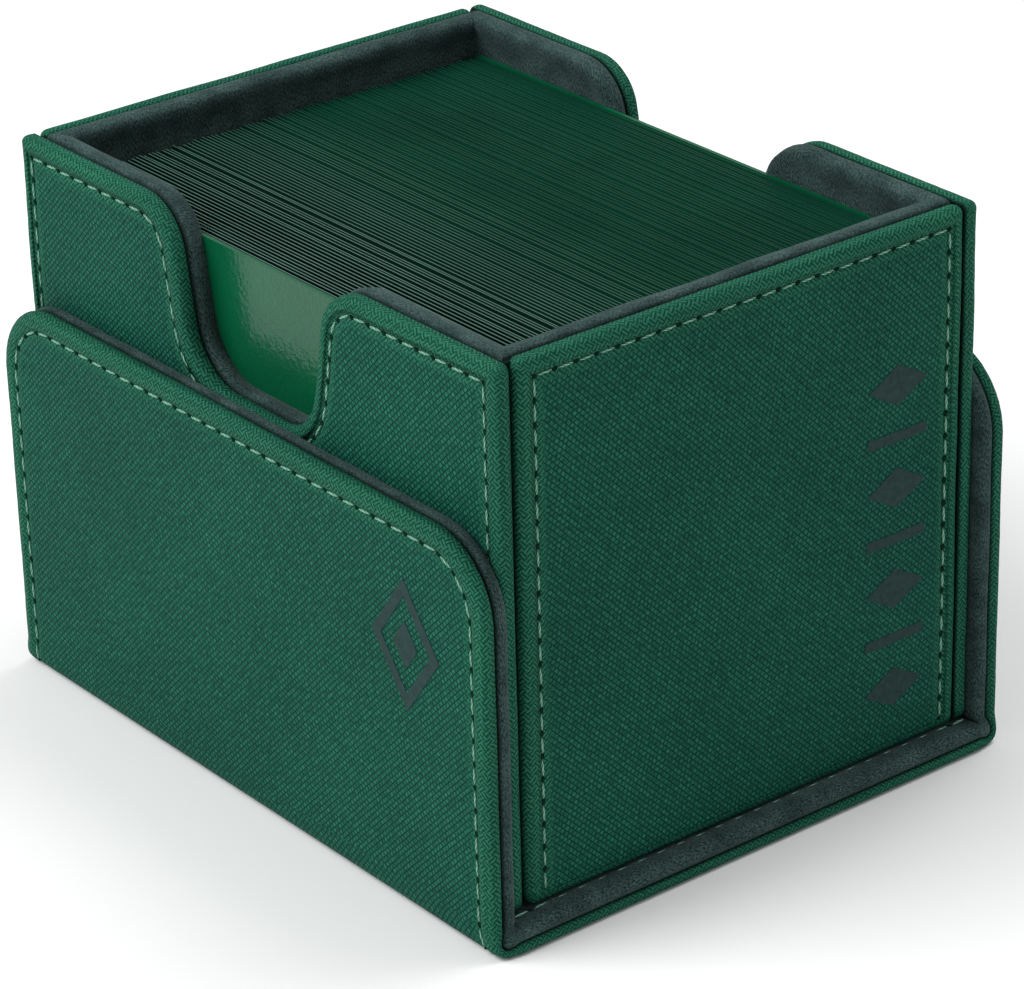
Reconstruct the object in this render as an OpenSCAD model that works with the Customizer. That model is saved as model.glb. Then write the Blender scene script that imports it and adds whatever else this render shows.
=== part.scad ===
// Card deck box: an open tray of stitched panels that stands in its own upturned lid.
// Origin: middle of the lid's underside. +X runs along the notched walls, towards a plain end
// wall. The front notched wall faces -Y, and +Z is up. The cards stack along Y.

/* [Tray] */
// Outside length of the tray along the notched walls
tray_len = 104; // [101:0.5:110]
// Outside depth of the tray across the stack of cards
tray_depth = 80; // [60:0.5:100]
// Outside height of the tray
tray_height = 76; // [74:0.5:90]
// Thickness of a wall's covered panel, without its lining
panel_t = 2.5; // [2:0.1:3.5]
// Thickness of the soft lining inside the tray
lining_t = 2.2; // [1:0.1:3]
// Thickness of the stiff board inside a wall's panel
board_t = 1.3; // [0.8:0.1:1.5]

/* [Thumb notch] */
// Depth of the thumb notch below the rim
notch_depth = 23.4; // [18:0.1:30]
// Half the notch's width, halfway down its straight side
notch_half = 15; // [12:0.5:20]
// Lean of the notch's sides from upright, in degrees
notch_lean = 10; // [0:1:15]
// Radius of the notch's shoulders at the rim
shoulder_r = 8; // [4:0.5:9]
// Radius of the notch's bottom corners
corner_r = 9; // [6:0.5:9.5]

/* [Lid] */
// Length of the lid along the notched walls
lid_len = 110; // [106:0.5:116]
// Thickness of the lid's base
lid_t = 4.2; // [3.8:0.1:5]
// Thickness of a flap
flap_t = 3.8; // [3.4:0.1:4]
// Height of a flap's free edge above the lid's underside
flap_top = 57.6; // [50:0.1:60]
// Radius of the flap's two free corners
flap_corner_r = 11; // [4:0.5:14]
// Thickness of the outer cover skin on lid and flaps
skin_t = 1; // [0.8:0.1:1.3]
// Thickness of the lining on lid and flaps
flap_lining_t = 1.8; // [1.2:0.1:2]

/* [Magnets] */
// Radius of a magnet disc
magnet_r = 5; // [3:0.5:7]
// Distance of each magnet from the middle of its wall
magnet_x = 32; // [27:0.5:38]

/* [Cards] */
// Length of a sleeved card, lying along the notched wall
card_len = 91; // [88:0.5:94]
// Height of a sleeved card
card_height = 66; // [60:0.5:70]
// Thickness of one sleeved card
card_t = 0.6; // [0.4:0.05:0.65]
// Number of sleeved cards behind the front one, in three equal groups
group_cards = 33; // [20:1:33]

/* [Hidden] */
$fn = 96;

green = [0.10, 0.34, 0.25];
suede = [0.22, 0.27, 0.27];
greyboard = [0.62, 0.58, 0.50];
nickel = [0.75, 0.75, 0.77];
card_green = [0.08, 0.36, 0.24];

seat_gap = 0.1;                       // air between a piece and the lining it stands on
tray_z = lid_t + seat_gap;            // underside of the tray
rim_z = tray_z + tray_height;         // the tray's rim
half_len = tray_len / 2;
half_depth = tray_depth / 2;
half_lid = lid_len / 2;
turn_in = 2;                          // width of cover folded round a board's edge
wall_t = panel_t + lining_t;
inner_len = tray_len - 2 * wall_t;
inner_depth = tray_depth - 2 * wall_t;
floor_skin_t = 1.2;                   // cover skin under the tray
floor_top = panel_t + lining_t;       // top of the floor lining above the tray's underside
flap_gap = 0.3;                       // air between the fold strip and the flap
flap_inner = half_depth + lid_t - flap_t;   // distance of a flap's lining from the middle plane
flap_low = lid_t + flap_gap;
flap_board_t = flap_t - skin_t - flap_lining_t;
lid_board_t = lid_t - skin_t - flap_lining_t;
magnet_z = tray_z + tray_height / 2;  // magnets sit at half the tray's height
board_fit = 0.05;                     // play of a board or magnet in its pocket
card_count = 3 * group_cards + 1;
stack_play = 0.8;                     // free depth left in the tray when it is full
card_pitch = (inner_depth - stack_play) / card_count;
card_z = tray_z + floor_top + seat_gap;

// The thumb notch is drawn in the wall's plane: X along the wall, Y up from the tray's underside.
// "grow" widens it evenly, for the board whose edge stops short of the folded cover.
notch_floor = tray_height - notch_depth;
lean_mid = notch_depth / 2;
function shoulder_x() =
  notch_half + (shoulder_r - (shoulder_r - lean_mid) * sin(notch_lean)) / cos(notch_lean);
function corner_x() =
  notch_half - (corner_r + (notch_depth - corner_r - lean_mid) * sin(notch_lean)) / cos(notch_lean);

module notch_outline(grow = 0) {
  top = tray_height + 1;
  s_r = shoulder_r - grow;
  c_r = corner_r + grow;
  lean = [cos(notch_lean), sin(notch_lean)];
  s_mid = [shoulder_x(), tray_height - shoulder_r];
  c_mid = [corner_x(), notch_floor + corner_r];
  s_end = [s_mid.x - s_r * lean.x, s_mid.y + s_r * lean.y];
  c_end = [c_mid.x + c_r * lean.x, c_mid.y - c_r * lean.y];
  difference() {
    polygon([
      [-s_mid.x, top], [-s_mid.x, s_mid.y + s_r], [-s_end.x, s_end.y], [-c_end.x, c_end.y],
      [-c_mid.x, c_mid.y - c_r], [c_mid.x, c_mid.y - c_r],
      [c_end.x, c_end.y], [s_end.x, s_end.y], [s_mid.x, s_mid.y + s_r], [s_mid.x, top]
    ]);
    for (side = [-1, 1])
      translate([side * s_mid.x, s_mid.y]) circle(r = s_r);
  }
  for (side = [-1, 1])
    translate([side * c_mid.x, c_mid.y]) circle(r = c_r);
}

// A notched wall's outline, "inset" from its free edges, with its low edge at "low".
module wall_outline(half_width, inset, low) {
  difference() {
    translate([-half_width + inset, low])
      square([2 * (half_width - inset), tray_height - inset - low]);
    notch_outline(inset);
  }
}

// Stands a flat outline up: its X stays X, its Y becomes Z, and it fills Y from y0 to y0 + t.
module upright(y0, t) {
  translate([0, y0 + t, 0]) rotate([90, 0, 0]) linear_extrude(t) children();
}

// Pair of discs at the magnets' places in the wall's plane.
module magnet_outline(r, z) {
  for (side = [-1, 1])
    translate([side * magnet_x, z]) circle(r = r);
}

// Front and back pieces are the same piece turned half round.
module facing(side) {
  rotate([0, 0, side == "front" ? 0 : 180]) children();
}

/* ---- notched walls ---- */
module wall_cover(side) {
  color(green) facing(side) translate([0, 0, tray_z]) difference() {
    upright(-half_depth, panel_t) wall_outline(half_len, 0, 0);
    upright(-half_depth + panel_t - board_t, board_t + 1) wall_outline(half_len, turn_in, turn_in);
  }
}

module wall_board(side) {
  color(greyboard) facing(side) translate([0, 0, tray_z])
    upright(-half_depth + panel_t - board_t, board_t) difference() {
      wall_outline(half_len, turn_in + board_fit, turn_in + board_fit);
      magnet_outline(magnet_r + board_fit, tray_height / 2);
    }
}

module wall_magnets(side) {
  color(nickel) facing(side) translate([0, 0, tray_z])
    upright(-half_depth + panel_t - board_t, board_t) magnet_outline(magnet_r, tray_height / 2);
}

module wall_lining(side) {
  color(suede) facing(side) translate([0, 0, tray_z])
    upright(-half_depth + panel_t, lining_t) wall_outline(half_len - panel_t, 0, floor_top);
}

/* ---- plain end walls ---- */
// The right end wall, of the given depth, thickness and place; the left one is it turned half round.
module end_slab(side, x0, t, half_width, low, high) {
  rotate([0, 0, side == "right" ? 0 : 180])
    translate([x0, -half_width, tray_z + low]) cube([t, 2 * half_width, high - low]);
}

module end_cover(side) {
  color(green) difference() {
    end_slab(side, half_len - panel_t, panel_t, half_depth - panel_t, 0, tray_height);
    end_slab(side, half_len - panel_t - 1, board_t + 1, half_depth - panel_t - turn_in,
      turn_in, tray_height - turn_in);
  }
}

module end_board(side) {
  edge = turn_in + board_fit;
  color(greyboard) end_slab(side, half_len - panel_t, board_t, half_depth - panel_t - edge,
    edge, tray_height - edge);
}

module end_lining(side) {
  color(suede) end_slab(side, half_len - wall_t, lining_t, half_depth - wall_t,
    floor_top, tray_height);
}

/* ---- tray floor ---- */
module floor_slab(inset, z0, t) {
  translate([-half_len + panel_t + inset, -half_depth + panel_t + inset, tray_z + z0])
    cube([tray_len - 2 * (panel_t + inset), tray_depth - 2 * (panel_t + inset), t]);
}

module floor_cover() {
  color(green) difference() {
    floor_slab(0, 0, panel_t);
    floor_slab(turn_in, floor_skin_t, panel_t);
  }
}

module floor_board() {
  color(greyboard) floor_slab(turn_in + board_fit, floor_skin_t, panel_t - floor_skin_t);
}

module floor_lining() {
  color(suede) floor_slab(0, panel_t, lining_t);
}

/* ---- lid base ---- */
module lid_slab(inset, z0, t) {
  translate([-half_lid + inset, -half_depth + inset, z0])
    cube([lid_len - 2 * inset, tray_depth - 2 * inset, t]);
}

module lid_cover() {
  color(green) difference() {
    lid_slab(0, 0, skin_t + lid_board_t);
    lid_slab(turn_in, skin_t, lid_t);
  }
}

module lid_board() {
  color(greyboard) lid_slab(turn_in + board_fit, skin_t, lid_board_t);
}

module lid_lining() {
  color(suede) lid_slab(0, skin_t + lid_board_t, flap_lining_t);
}

// Soft strip that carries cover and lining round the bend between the base and a flap.
module fold(side) {
  color(green) facing(side) rotate([90, 0, 90])
    translate([0, 0, -half_lid]) linear_extrude(lid_len)
      intersection() {
        translate([-half_depth, lid_t]) difference() {
          circle(r = lid_t);
          circle(r = lid_t - flap_t);
        }
        translate([-half_depth - lid_t, 0]) square([lid_t, lid_t]);
      }
}

/* ---- flaps ---- */
// A flap's outline: square along the fold, round at its two free corners.
module flap_outline(inset) {
  r = flap_corner_r - inset;
  half = half_lid - inset;
  top = flap_top - inset;
  low = flap_low + inset;
  translate([-half, low]) square([2 * half, top - r - low]);
  translate([-half + r, low]) square([2 * (half - r), top - low]);
  for (x = [-half + r, half - r])
    translate([x, top - r]) circle(r = r);
}

module flap_cover(side) {
  color(green) facing(side) difference() {
    upright(-flap_inner - flap_t, skin_t + flap_board_t) flap_outline(0);
    upright(-flap_inner - flap_t + skin_t, flap_t) flap_outline(turn_in);
  }
}

module flap_board(side) {
  color(greyboard) facing(side) upright(-flap_inner - flap_t + skin_t, flap_board_t) difference() {
    flap_outline(turn_in + board_fit);
    magnet_outline(magnet_r + board_fit, magnet_z);
  }
}

module flap_magnets(side) {
  color(nickel) facing(side)
    upright(-flap_inner - flap_t + skin_t, flap_board_t) magnet_outline(magnet_r, magnet_z);
}

module flap_lining(side) {
  color(suede) facing(side) upright(-flap_inner - flap_lining_t, flap_lining_t) flap_outline(0);
}

/* ---- sleeved cards ---- */
// Card number 0 is the front one; each next card stands one pitch further back.
module sleeved_cards(first, last) {
  color(card_green)
    for (i = [first:last])
      translate([-card_len / 2, -card_count / 2 * card_pitch + i * card_pitch, card_z])
        cube([card_len, card_t, card_height]);
}

lid_cover();
lid_board();
lid_lining();
fold("front");  // front_fold
fold("back");  // back_fold
flap_cover("front");  // front_flap_cover
flap_board("front");  // front_flap_board
flap_lining("front");  // front_flap_lining
flap_magnets("front");  // front_flap_magnets
flap_cover("back");  // back_flap_cover
flap_board("back");  // back_flap_board
flap_lining("back");  // back_flap_lining
flap_magnets("back");  // back_flap_magnets
wall_cover("front");  // front_wall_cover
wall_board("front");  // front_wall_board
wall_lining("front");  // front_wall_lining
wall_magnets("front");  // front_wall_magnets
wall_cover("back");  // back_wall_cover
wall_board("back");  // back_wall_board
wall_lining("back");  // back_wall_lining
wall_magnets("back");  // back_wall_magnets
end_cover("left");  // left_end_cover
end_board("left");  // left_end_board
end_lining("left");  // left_end_lining
end_cover("right");  // right_end_cover
end_board("right");  // right_end_board
end_lining("right");  // right_end_lining
floor_cover();
floor_board();
floor_lining();
sleeved_cards(0, 0);  // front_card
sleeved_cards(1, group_cards);  // cards_front
sleeved_cards(group_cards + 1, 2 * group_cards);  // cards_middle
sleeved_cards(2 * group_cards + 1, 3 * group_cards);  // cards_back
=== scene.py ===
"""Card deck box: a stitched card tray that stands in its own upturned two-flap lid.

Lengths are in millimetres until a piece is finished, and then in metres.
"""
import math
import random

import bmesh
import bpy
from mathutils import Matrix, Vector, noise


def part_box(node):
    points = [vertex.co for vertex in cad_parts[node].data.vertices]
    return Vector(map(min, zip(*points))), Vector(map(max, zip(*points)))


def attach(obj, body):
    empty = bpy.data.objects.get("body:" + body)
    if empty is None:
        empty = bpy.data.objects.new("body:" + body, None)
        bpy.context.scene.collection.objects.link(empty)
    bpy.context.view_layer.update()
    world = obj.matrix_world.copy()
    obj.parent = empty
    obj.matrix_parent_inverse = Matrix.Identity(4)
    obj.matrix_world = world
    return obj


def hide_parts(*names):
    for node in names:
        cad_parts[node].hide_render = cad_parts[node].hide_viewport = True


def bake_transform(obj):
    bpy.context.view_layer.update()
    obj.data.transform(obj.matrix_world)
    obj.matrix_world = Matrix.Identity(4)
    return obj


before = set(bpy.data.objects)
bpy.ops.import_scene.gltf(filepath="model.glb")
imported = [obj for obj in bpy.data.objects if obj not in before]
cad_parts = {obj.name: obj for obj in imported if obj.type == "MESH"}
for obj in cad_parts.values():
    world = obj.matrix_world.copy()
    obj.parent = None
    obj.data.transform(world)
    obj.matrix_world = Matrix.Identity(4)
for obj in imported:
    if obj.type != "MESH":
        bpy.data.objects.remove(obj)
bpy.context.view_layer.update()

MM = 0.001


# ---- Studio ---------------------------------------------------------------------------------
# A pale sweep under a big soft window light from the front left and a smaller one overhead, with
# a weak fill from the right. The camera looks down on the front right corner.
CAMERA_TURN = math.radians(51.9)
CAMERA_LIFT = math.radians(25.9)
CAMERA_ROLL = math.radians(-1.46)
CAMERA_AWAY = 592 * MM
CAMERA_LENS = 153
AIM_RIGHT = 2.5 * MM
AIM_UP = -11.7 * MM
BOX_MIDDLE = Vector((0, 0, 45 * MM))

back = Vector((
    math.sin(CAMERA_TURN) * math.cos(CAMERA_LIFT),
    -math.cos(CAMERA_TURN) * math.cos(CAMERA_LIFT),
    math.sin(CAMERA_LIFT),
))
level = Vector((math.cos(CAMERA_TURN), math.sin(CAMERA_TURN), 0))
upright = back.cross(level)
right = math.cos(CAMERA_ROLL) * level + math.sin(CAMERA_ROLL) * upright
up = back.cross(right)
camera = bpy.data.objects.new("camera", bpy.data.cameras.new("camera"))
bpy.context.collection.objects.link(camera)
camera.data.sensor_width = 36
camera.data.lens = CAMERA_LENS
camera.data.clip_start = 10 * MM
camera.data.clip_end = 20
place = Matrix((right, up, back)).transposed().to_4x4()
place.translation = BOX_MIDDLE + back * CAMERA_AWAY + right * AIM_RIGHT + up * AIM_UP
camera.matrix_world = place
bpy.context.scene.camera = camera


def material(name, colour, roughness):
    """A new material, with its shader and its node tree."""
    made = bpy.data.materials.new(name)
    made.use_nodes = True
    made.diffuse_color = (*colour, 1)
    shader = made.node_tree.nodes["Principled BSDF"]
    shader.inputs["Base Color"].default_value = (*colour, 1)
    shader.inputs["Roughness"].default_value = roughness
    return made, shader, made.node_tree


def node(tree, kind, **settings):
    """Adds a node; settings name its own properties or, with spaces as _, its inputs."""
    made = tree.nodes.new(kind)
    for name, value in settings.items():
        if hasattr(made, name):
            setattr(made, name, value)
        else:
            made.inputs[name.replace("_", " ")].default_value = value
    return made


def coarse_noise(tree, places, scale, detail=3.0):
    """Noise over the given coordinates, which are in metres."""
    made = node(tree, "ShaderNodeTexNoise", Scale=scale, Detail=detail)
    tree.links.new(places, made.inputs["Vector"])
    return made


def ramp(tree, value, low, high, start=0.0, end=1.0):
    """Colours from low to high as value goes from start to end."""
    made = tree.nodes.new("ShaderNodeValToRGB")
    made.color_ramp.elements[0].position = start
    made.color_ramp.elements[0].color = (*low, 1)
    made.color_ramp.elements[1].position = end
    made.color_ramp.elements[1].color = (*high, 1)
    tree.links.new(value, made.inputs["Fac"])
    return made


def bumped(tree, shader, height, depth, strength=1.0):
    """Roughens the shader's surface by height, over a depth in metres; gives back the bump."""
    bump = node(tree, "ShaderNodeBump", Distance=depth, Strength=strength)
    tree.links.new(height, bump.inputs["Height"])
    tree.links.new(bump.outputs["Normal"], shader.inputs["Normal"])
    return bump


FLOOR_HALF = 1.5
sweep_paint, sweep_shader, sweep_tree = material("sweep", (0.86, 0.86, 0.86), 0.9)
sweep_places = node(sweep_tree, "ShaderNodeTexCoord").outputs["Object"]
sweep_tint = ramp(sweep_tree, coarse_noise(sweep_tree, sweep_places, 3).outputs["Fac"],
                  (0.93, 0.93, 0.935), (0.96, 0.96, 0.96))
sweep_tree.links.new(sweep_tint.outputs["Color"], sweep_shader.inputs["Base Color"])
bm = bmesh.new()
bmesh.ops.create_grid(bm, x_segments=4, y_segments=4, size=FLOOR_HALF)
floor_mesh = bpy.data.meshes.new("sweep")
bm.to_mesh(floor_mesh)
bm.free()
floor = bpy.data.objects.new("sweep", floor_mesh)
floor.data.materials.append(sweep_paint)
bpy.context.collection.objects.link(floor)


def window(name, place, width, power):
    """A square area light at place, in metres, that faces the box."""
    light = bpy.data.lights.new(name, "AREA")
    light.size = width
    light.energy = power
    lamp = bpy.data.objects.new(name, light)
    lamp.location = place
    lamp.rotation_euler = (BOX_MIDDLE - Vector(place)).to_track_quat("-Z", "Y").to_euler()
    bpy.context.collection.objects.link(lamp)


window("key window", (-0.35, -0.75, 0.85), 0.7, 10.6)
window("right fill", (0.9, -0.1, 0.5), 0.8, 0.08)
window("top window", (0.1, 0.45, 1.0), 0.6, 5)
world = bpy.data.worlds.new("studio")
world.use_nodes = True
world.node_tree.nodes["Background"].inputs["Color"].default_value = (1, 1, 1, 1)
world.node_tree.nodes["Background"].inputs["Strength"].default_value = 0.45
bpy.context.scene.world = world
bpy.context.scene.view_settings.view_transform = "Standard"


# ---- Textured cover: the two flaps -----------------------------------------------------------
# Each flap is a stiff board in a coated fabric, embossed with slanting rows of tiny cells. The
# fabric is folded round the board's edge and sewn down, so the margin swells outside the seam.
lid_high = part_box("lid_cover")[1] / MM
flap_low, flap_high = (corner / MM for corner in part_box("front_flap_cover"))
tray_low, tray_high = (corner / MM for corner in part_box("front_wall_cover"))
lining_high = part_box("lid_lining")[1].z / MM
HALF_LID = lid_high.x
FOLD_Y = lid_high.y
LID_T = lining_high
FLAP_OUT = -flap_low.y
FLAP_TOP = flap_high.z
FLAP_SPLIT = -flap_high.y
FLAP_IN = -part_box("front_flap_lining")[1].y / MM
FLAP_CORNER = 11
HALF_FLAP = HALF_LID - 1.3
SEAM_IN = 3.3
LID_SEAM_IN = 2.9
HEM = 1.3
PACE = 0.8
ARC_STEPS = 12
MARGIN_FADE = 0.8
# Painted crease shade: the cloth is painted darker where its turned-in edge lies lower than this
# height and closer than this reach to its outline.
CREASE_SHADE_HEIGHT = 0.4
CREASE_SHADE_REACH = 1.5
WAVE_RATE = 0.11
PUCKER_RATE = 0.8
WAVE = 0.04
PUCKER = 0.05


def square_corner(x, y, side, lift, radius, inset, drop=None):
    """A rounded square corner at (x, y), drawn in by inset sideways and by drop up or down."""
    shown = max(radius - inset, 0.05)
    start = {(1, -1): -90, (1, 1): 0, (-1, 1): 90, (-1, -1): 180}[side, lift]
    drop = inset if drop is None else drop
    centre = Vector((x - side * (inset + shown), y - lift * (drop + shown)))
    return centre, shown, start, start + 90


def flap_shape(inset):
    """The flap's free outline, from the right end of its fold round to the left end."""
    half = HALF_FLAP
    return [
        (Vector((half - inset, LID_T)), 0, 0, 0),
        square_corner(half, FLAP_TOP, 1, 1, FLAP_CORNER, inset),
        square_corner(-half, FLAP_TOP, -1, 1, FLAP_CORNER, inset),
        (Vector((-half + inset, LID_T)), 0, 0, 0),
    ]


def outline(shape, inset):
    """The points of a shape drawn in by inset; a negative radius is a hollow arc."""
    points = []
    for centre, radius, start, end in shape(inset):
        if radius == 0:
            points.append(centre)
            continue
        for step in range(ARC_STEPS + 1):
            turn = math.radians(start + (end - start) * step / ARC_STEPS)
            points.append(centre + radius * Vector((math.cos(turn), math.sin(turn))))
    return points


def paced(points, counts):
    """The points with each stretch between them cut into the given number of steps."""
    made = []
    for a, b, count in zip(points, points[1:] + points[:1], counts):
        made += [a.lerp(b, step / count) for step in range(count)]
    return made if len(counts) == len(points) else made + [points[-1]]


def draw_on(bm, ring, points, closed):
    """Extrudes a ring of vertices and moves each new one to its point."""
    after = ring[1:] + ring[:1] if closed else ring[1:]
    edges = [bm.edges.get((a, b)) for a, b in zip(ring, after)]
    grown = {}
    olds = set(ring)
    for part in bmesh.ops.extrude_edge_only(bm, edges=edges)["geom"]:
        if isinstance(part, bmesh.types.BMVert):
            for edge in part.link_edges:
                if edge.other_vert(part) in olds:
                    grown[edge.other_vert(part)] = part
    made = [grown[vertex] for vertex in ring]
    for vertex, point in zip(made, points):
        vertex.co = point
    return made


def first_ring(bm, points, closed):
    """Vertices at the points, joined by edges."""
    ring = [bm.verts.new(point) for point in points]
    for a, b in zip(ring, ring[1:] + ring[:1] if closed else ring[1:]):
        bm.edges.new((a, b))
    return ring


def unrolled(section):
    """How far each point of a section lies from its edge once the fabric is laid flat."""
    far = [section[-1][0]]
    for a, b in zip(section[::-1], section[-2::-1]):
        far.append(far[-1] - math.dist(a, b))
    return far[::-1]


def panel(shape, section, closed=True, wobble=0.07, hand=1, foot=None):
    """A bmesh of a padded panel, flat in X and Y with its face towards +Z.

    section lists (distance in from the outline, height) from the back edge round to the face.
    The rows of the fabric fall to the right where hand is 1 and rise to the right where it is -1.
    Below foot and its hem the fabric shows no margin, because nothing is sewn there.
    """
    bm = bmesh.new()
    cloth = bm.loops.layers.uv.new("cloth")
    margin = bm.verts.layers.float.new("margin")
    crease_shade = bm.verts.layers.float.new("crease_shade")
    edge = outline(shape, 0)
    after = edge[1:] + edge[:1] if closed else edge[1:]
    counts = [max(1, round((b - a).length / PACE)) for a, b in zip(edge, after)]
    edge = paced(edge, counts)
    flat = {}
    ring = None
    back_ring = None
    for (inset, height), far in zip(section, unrolled(section)):
        seam = 1 - min(1, max(0, (inset - SEAM_IN) / MARGIN_FADE))
        points = []
        for place, corner in zip(paced(outline(shape, inset), counts), edge):
            slow = noise.noise(Vector((corner.x * WAVE_RATE, corner.y * WAVE_RATE, 3.7)))
            quick = noise.noise(Vector((corner.x * PUCKER_RATE, corner.y * PUCKER_RATE, 9.1)))
            lift = height * (1 + WAVE * seam * slow) + PUCKER * seam * quick * min(1, height)
            outward = corner - place
            outward = outward.normalized() if outward.length > 0.01 else Vector((0, 0))
            shift = outward * wobble * slow * seam
            points.append(Vector((place.x + shift.x, place.y + shift.y, lift)))
        if ring is None:
            ring = first_ring(bm, points, closed)
            back_ring = ring
        else:
            ring = draw_on(bm, ring, points, closed)
        for vertex, place in zip(ring, paced(outline(shape, far), counts)):
            flat[vertex] = Vector((hand * place.x, place.y)) * MM
            vertex[margin] = seam
            if foot is not None and vertex.co.y < foot + HEM:
                vertex[margin] = 0
            # Painted shade, darkest at the foot of the turned-in edge, where the crease lies.
            vertex[crease_shade] = max(0, 1 - height / CREASE_SHADE_HEIGHT) if inset < CREASE_SHADE_REACH else 0
    bm.faces.new(ring)
    bm.faces.new(back_ring)
    if not closed:
        ends = bmesh.ops.holes_fill(bm, edges=[e for e in bm.edges if e.is_boundary], sides=0)
        for face in ends["faces"]:
            for e in face.edges:
                e.smooth = False
    for face in bm.faces:
        face.smooth = True
        for loop in face.loops:
            loop[cloth].uv = flat[loop.vert]
    return bm


FACINGS = {
    "front": ((1, 0, 0), (0, 0, 1), (0, -1, 0)),
    "back": ((-1, 0, 0), (0, 0, 1), (0, 1, 0)),
    "right": ((0, 1, 0), (0, 0, 1), (1, 0, 0)),
    "left": ((0, -1, 0), (0, 0, 1), (-1, 0, 0)),
    "down": ((1, 0, 0), (0, -1, 0), (0, 0, -1)),
    "up": ((1, 0, 0), (0, 1, 0), (0, 0, 1)),
}
OPPOSITE = {"front": "back", "back": "front", "left": "right", "right": "left"}


def faced(bm, facing, away, lift=0.0):
    """Stands a flat panel up so that its back lies "away" from the middle, facing outwards."""
    across, along, out = (Vector(axis) for axis in FACINGS[facing])
    turn = Matrix((across, along, out)).transposed().to_4x4()
    turn.translation = out * away + Vector((0, 0, lift))
    bmesh.ops.transform(bm, matrix=turn, verts=bm.verts)


def piece(name, bm, paint, body=None):
    """Turns a bmesh in millimetres into a finished object."""
    bmesh.ops.scale(bm, vec=(MM, MM, MM), verts=bm.verts)
    bmesh.ops.recalc_face_normals(bm, faces=bm.faces)
    mesh = bpy.data.meshes.new(name)
    bm.to_mesh(mesh)
    bm.free()
    made = bpy.data.objects.new(name, mesh)
    bpy.context.collection.objects.link(made)
    for one in paint if isinstance(paint, list) else [paint]:
        mesh.materials.append(one)
    if body:
        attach(made, body)
    return made


def paint_crease_shade(tree, colour, shader):
    """Colours the shader, and paints shade on it where the cloth's turned-in edge lies in a crease.
    """
    edge = node(tree, "ShaderNodeAttribute", attribute_name="crease_shade")
    crease_shade_mix = node(tree, "ShaderNodeMix", data_type="RGBA")
    tree.links.new(edge.outputs["Fac"], crease_shade_mix.inputs["Factor"])
    tree.links.new(colour, crease_shade_mix.inputs[6])
    # The near-black colour of the painted crease shade.
    crease_shade_mix.inputs[7].default_value = (0.001, 0.006, 0.005, 1)
    tree.links.new(crease_shade_mix.outputs[2], shader.inputs["Base Color"])


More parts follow.
